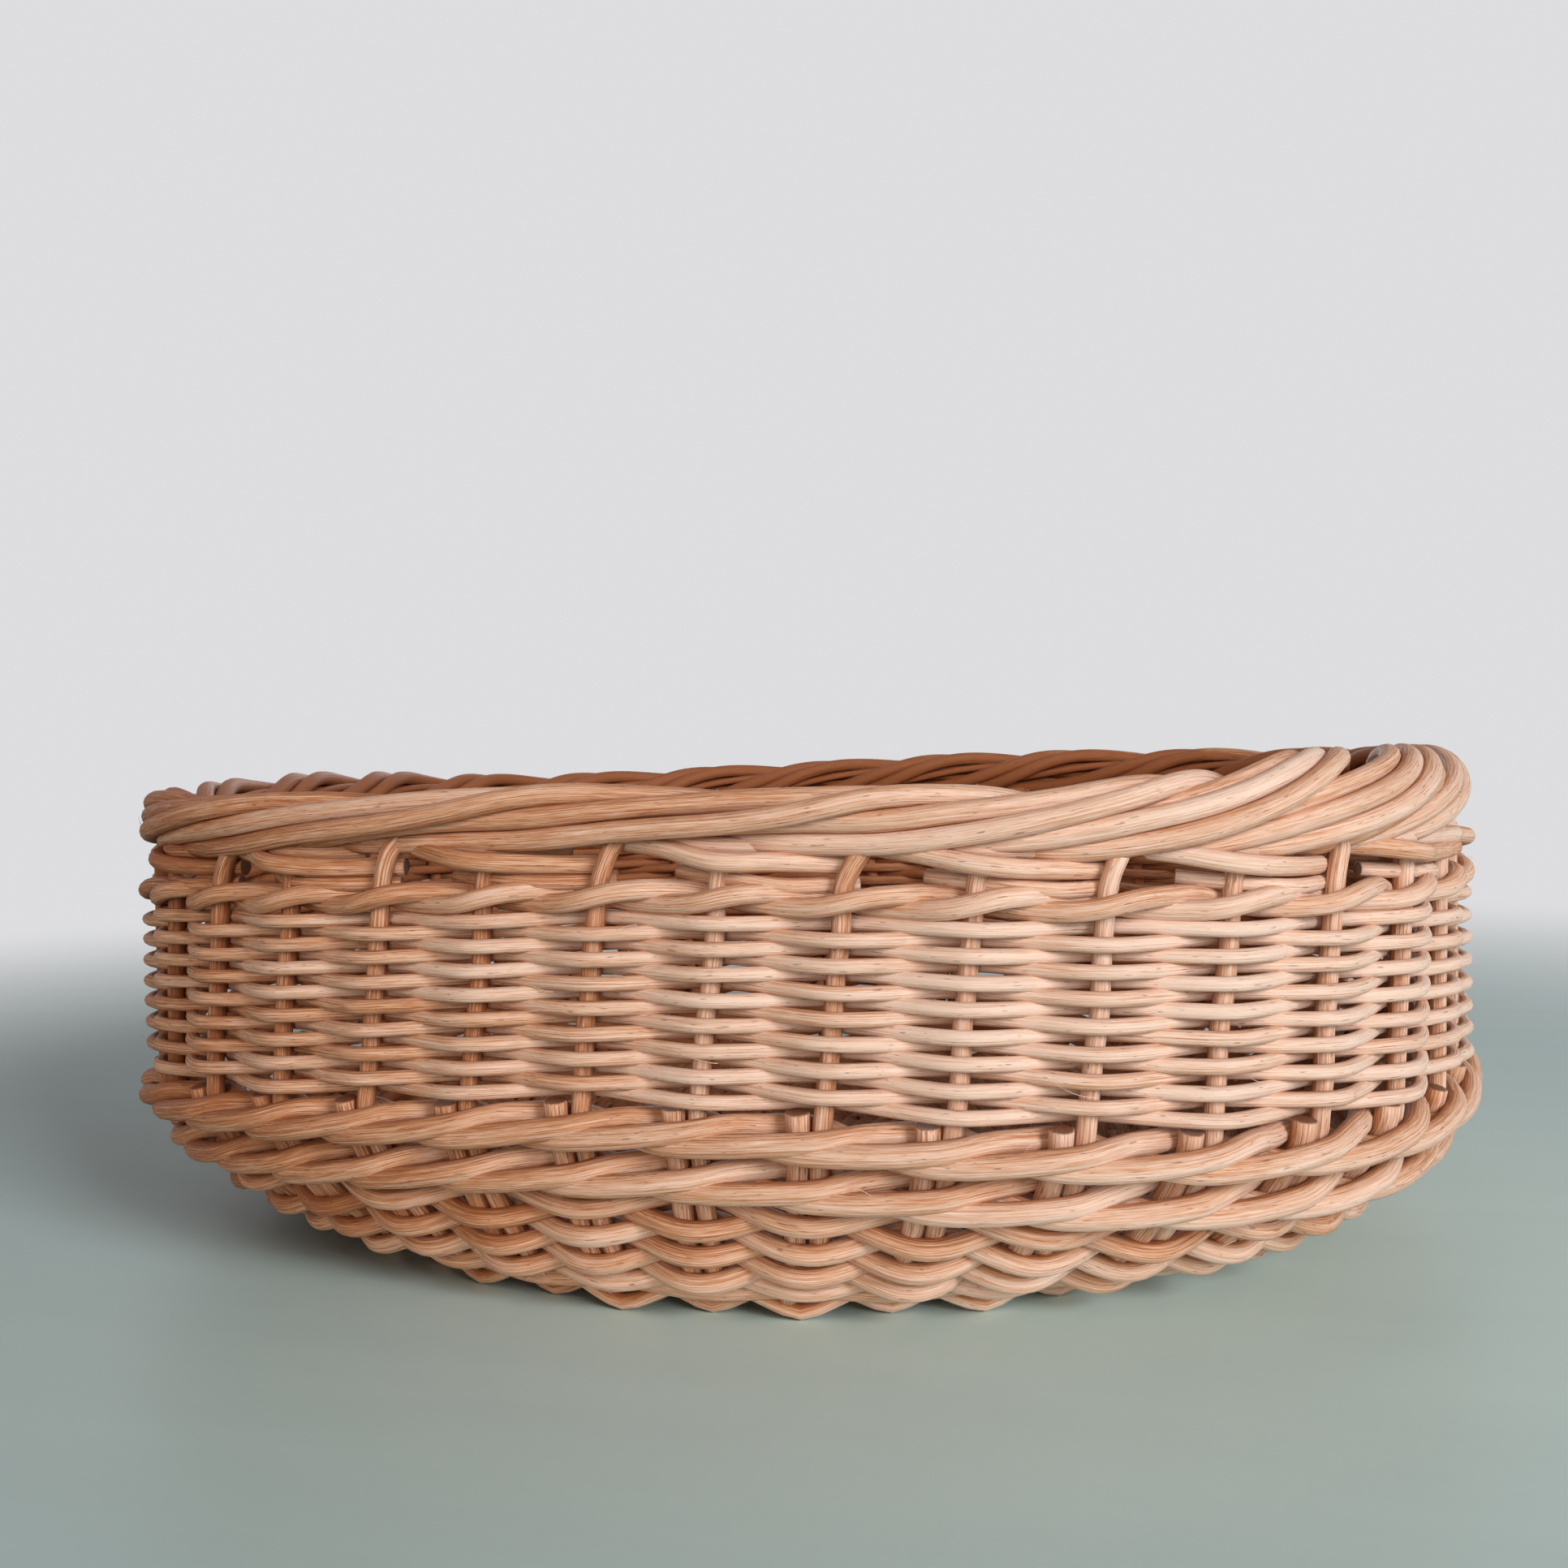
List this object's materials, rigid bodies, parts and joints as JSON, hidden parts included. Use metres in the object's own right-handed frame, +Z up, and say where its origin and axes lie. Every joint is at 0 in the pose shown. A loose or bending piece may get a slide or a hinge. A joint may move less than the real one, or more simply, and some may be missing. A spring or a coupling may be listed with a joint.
{
  "type": "woven rattan basket",
  "caption": "Low oval rattan basket with a round woven base, a flared foot, an upsett wale, a close randed wall, a pairing round and a thick twisted border, open at the top",
  "frame": {"origin": "middle of the underside, on the surface that the basket stands on", "axes": "+Z up out of the opening, +X along the longer side of the oval, +Y along the shorter side"},
  "size_m": [0.3497, 0.3117, 0.1176],
  "materials": {
    "spoke_cane": "natural cane, unvarnished",
    "mat_weave": "natural cane, unvarnished",
    "stake_cane": "natural cane, unvarnished",
    "lower_cane": "natural cane, unvarnished",
    "wale_cane": "natural cane, unvarnished",
    "side_cane": "natural cane, unvarnished",
    "pairing_cane": "natural cane, unvarnished",
    "band_cane": "natural cane, unvarnished",
    "border_cane": "natural cane, unvarnished"
  },
  "bodies": {
    "root": {"base_mat": "mat_weave", "base_spokes": "spoke_cane", "border_band": "band_cane", "border_cane_1a": "border_cane", "border_cane_1b": "border_cane", "border_cane_2a": "border_cane", "border_cane_2b": "border_cane", "border_cane_3a": "border_cane", "border_cane_3b": "border_cane", "lower_weaver_a": "lower_cane", "lower_weaver_b": "lower_cane", "pairing_rod_a": "pairing_cane", "pairing_rod_b": "pairing_cane", "side_weaver_a": "side_cane", "side_weaver_b": "side_cane", "stake_01": "stake_cane", "stake_02": "stake_cane", "stake_03": "stake_cane", "stake_04": "stake_cane", "stake_05": "stake_cane", "stake_06": "stake_cane", "stake_07": "stake_cane", "stake_08": "stake_cane", "stake_09": "stake_cane", "stake_10": "stake_cane", "stake_11": "stake_cane", "stake_12": "stake_cane", "stake_13": "stake_cane", "stake_14": "stake_cane", "stake_15": "stake_cane", "stake_16": "stake_cane", "stake_17": "stake_cane", "stake_18": "stake_cane", "stake_19": "stake_cane", "stake_20": "stake_cane", "stake_21": "stake_cane", "stake_22": "stake_cane", "stake_23": "stake_cane", "stake_24": "stake_cane", "stake_25": "stake_cane", "stake_26": "stake_cane", "stake_27": "stake_cane", "stake_28": "stake_cane", "stake_29": "stake_cane", "stake_30": "stake_cane", "stake_31": "stake_cane", "stake_32": "stake_cane", "stake_33": "stake_cane", "stake_34": "stake_cane", "stake_35": "stake_cane", "stake_36": "stake_cane", "stake_37": "stake_cane", "stake_38": "stake_cane", "stake_39": "stake_cane", "stake_40": "stake_cane", "stake_41": "stake_cane", "stake_42": "stake_cane", "wale_rod_1": "wale_cane", "wale_rod_2": "wale_cane", "wale_rod_3": "wale_cane"}
  },
  "joints": []
}
